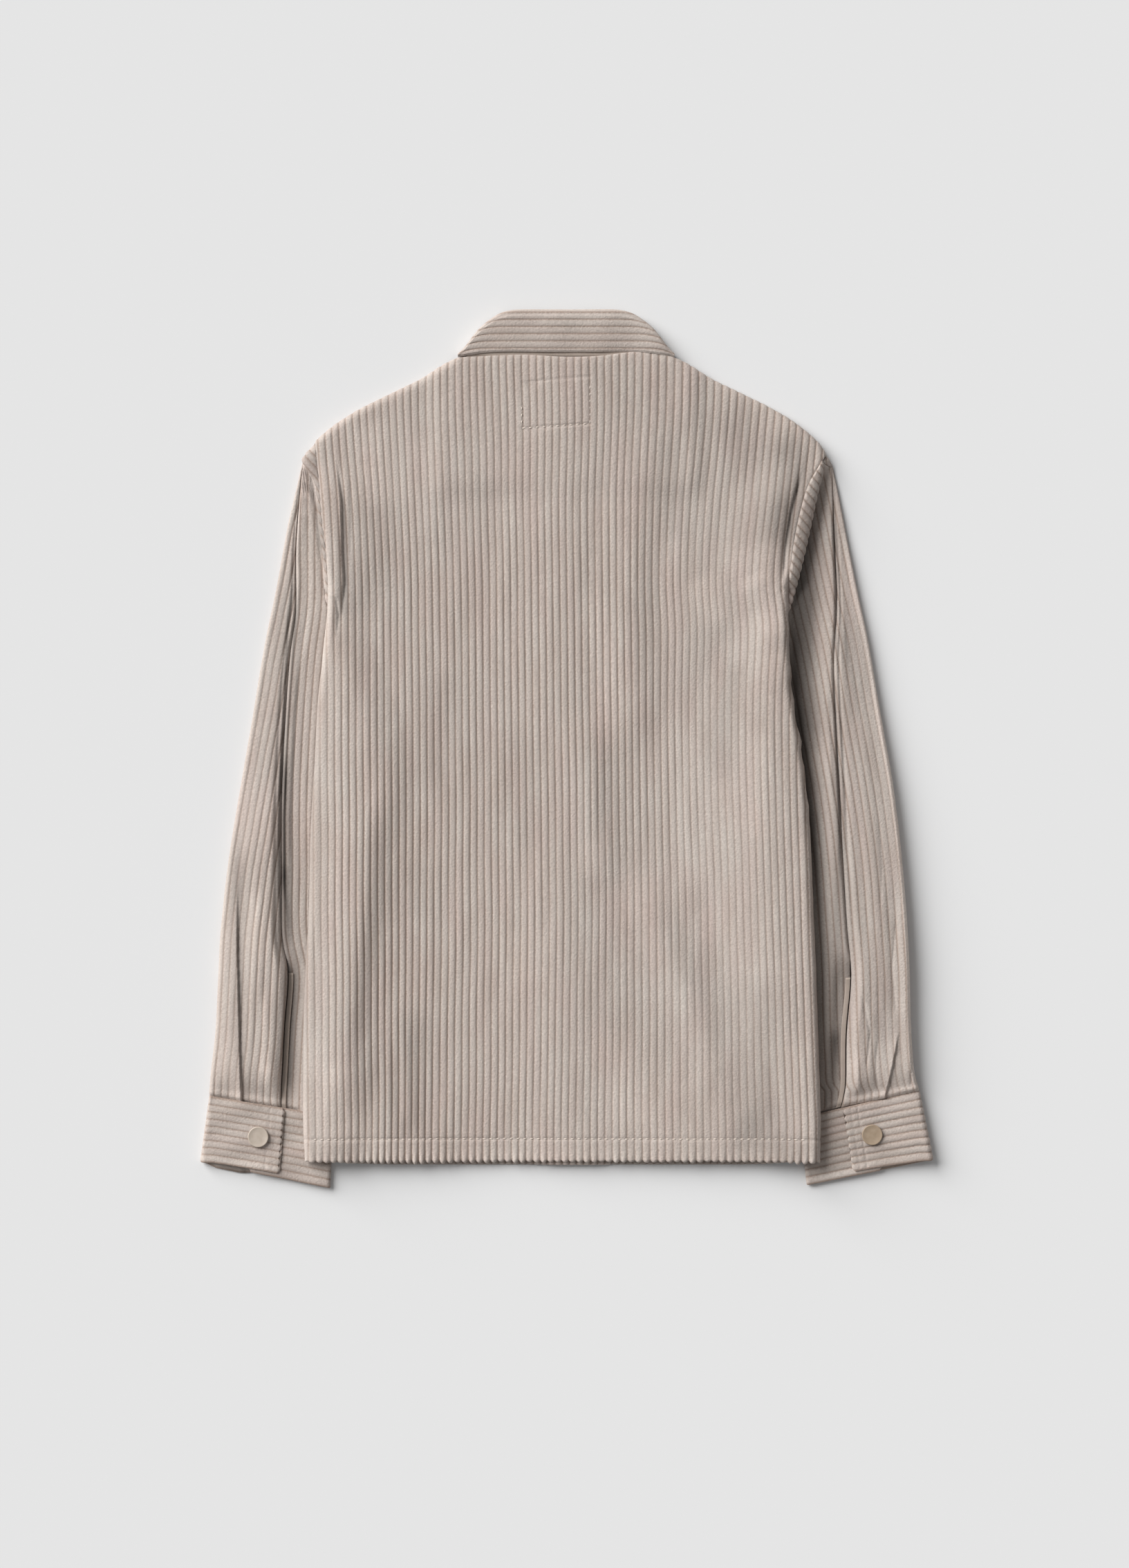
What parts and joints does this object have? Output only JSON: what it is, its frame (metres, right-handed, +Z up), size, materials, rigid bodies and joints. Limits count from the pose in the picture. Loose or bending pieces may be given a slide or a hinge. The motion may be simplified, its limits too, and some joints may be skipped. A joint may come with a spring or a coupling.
{
  "type": "overshirt",
  "caption": "Long-sleeved wide-wale corduroy overshirt with a folded collar and snapped cuffs, laid flat on its front with the sleeves tucked under its sides.",
  "frame": {"origin": "on the floor under the middle of the shirt's bounding box", "axes": "+X to the wearer's right, +Y from hem to collar, +Z up out of the back"},
  "size_m": [0.6676, 0.799, 0.0145],
  "materials": {
    "corduroy": "matt wide-wale pile",
    "plain_lining": "matt plain weave",
    "snap": "satin"
  },
  "bodies": {
    "root": {"back": "corduroy", "front_left": "corduroy", "front_right": "corduroy", "sleeve_left": "corduroy", "sleeve_right": "corduroy", "cuff_left": "corduroy", "cuff_right": "corduroy", "collar_fall": "corduroy", "collar_stand": "plain_lining", "vent_facing_left": "plain_lining", "vent_facing_right": "plain_lining", "cuff_snap_left": "snap", "cuff_snap_right": "snap", "front_snap_1": "snap", "front_snap_2": "snap", "front_snap_3": "snap", "front_snap_4": "snap", "front_snap_5": "snap", "front_snap_6": "snap"}
  },
  "joints": []
}
